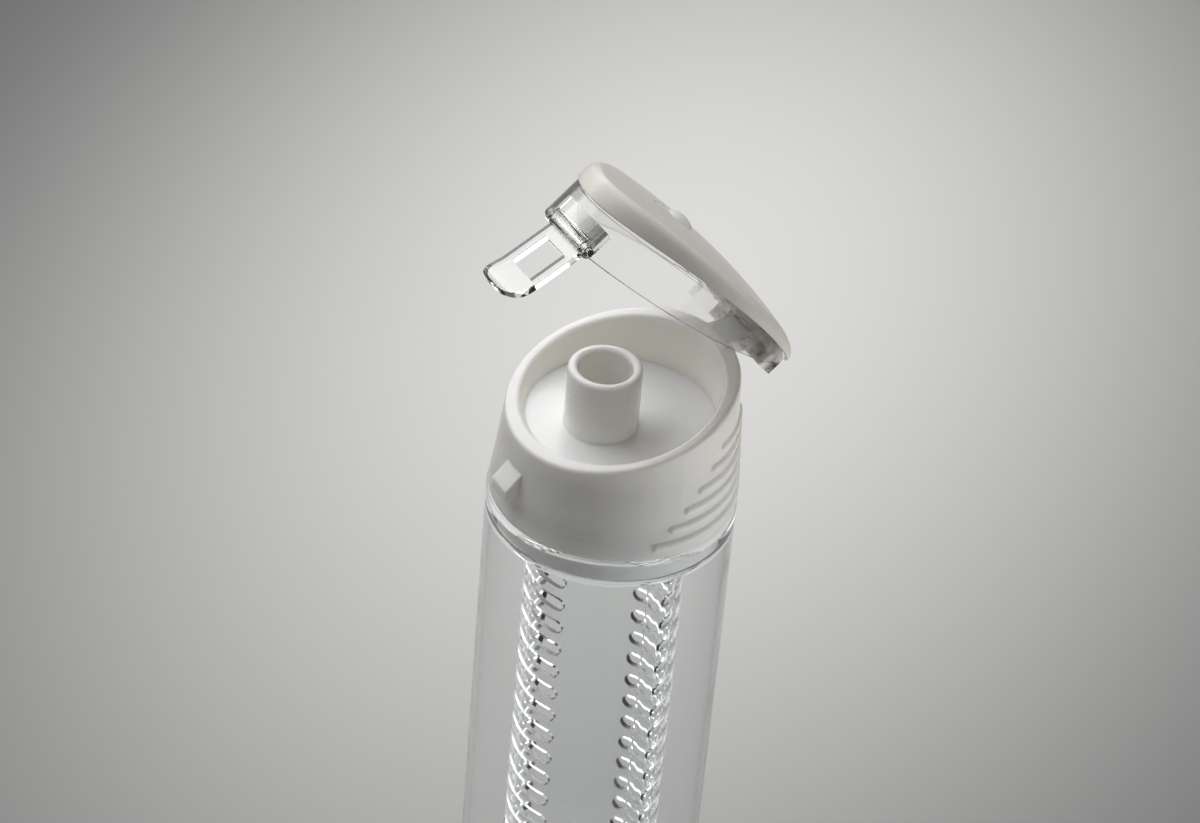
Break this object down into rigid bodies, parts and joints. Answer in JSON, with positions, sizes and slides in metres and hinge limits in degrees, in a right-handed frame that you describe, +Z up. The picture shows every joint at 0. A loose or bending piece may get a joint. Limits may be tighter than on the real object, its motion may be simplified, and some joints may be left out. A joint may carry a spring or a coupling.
{
  "type": "bottle",
  "caption": "Clear fruit infuser water bottle with a screw cap, drinking spout, hinged flip lid, clasp and a long slotted infuser basket hanging inside",
  "frame": {"origin": "centre of the flat base the bottle stands on", "axes": "+Z up along the bottle's axis, the clasp faces -Y, the lid's hinge is at +Y, X runs along the hinge"},
  "size_m": [0.073, 0.0918, 0.2991],
  "materials": {
    "clear_body": "clear plastic",
    "clear_lid": "clear plastic",
    "white_plastic": "satin warm white",
    "inlay_plastic": "satin light grey",
    "seal": "soft translucent"
  },
  "bodies": {
    "bottle": {"bottle_body": "clear_body"},
    "gasket": {"neck_gasket": "seal"},
    "cap": {"cap_shell": "white_plastic"},
    "infuser": {"infuser_basket": "clear_body"},
    "lid": {"lid_base": "clear_lid", "lid_cover": "white_plastic", "spout_seal": "seal", "lid_hinge_pin": "white_plastic", "top_inlay": "inlay_plastic", "clasp_pin": "clear_lid"},
    "clasp": {"clasp": "clear_lid"}
  },
  "joints": [
    {"name": "cap_lift", "type": "slide", "parent": "bottle", "child": "gasket", "axis": [0, 0, 1], "range_m": [0, 0.21]},
    {"name": "cap_turn", "type": "hinge", "parent": "gasket", "child": "cap", "pos_m": [0, 0, 0.19], "axis": [0, 0, 1], "range_deg": [0, 540]},
    {"name": "infuser_drop", "type": "slide", "parent": "cap", "child": "infuser", "axis": [0, 0, -1], "range_m": [0, 0.01]},
    {"name": "lid_hinge", "type": "hinge", "parent": "cap", "child": "lid", "pos_m": [0, 0.03926, 0.2313], "axis": [-1, 0, 0], "range_deg": [-52.5, 37.5]},
    {"name": "clasp_hinge", "type": "hinge", "parent": "lid", "child": "clasp", "pos_m": [0, -0.02131, 0.28477], "axis": [-1, 0, 0], "range_deg": [-17, 45]}
  ]
}
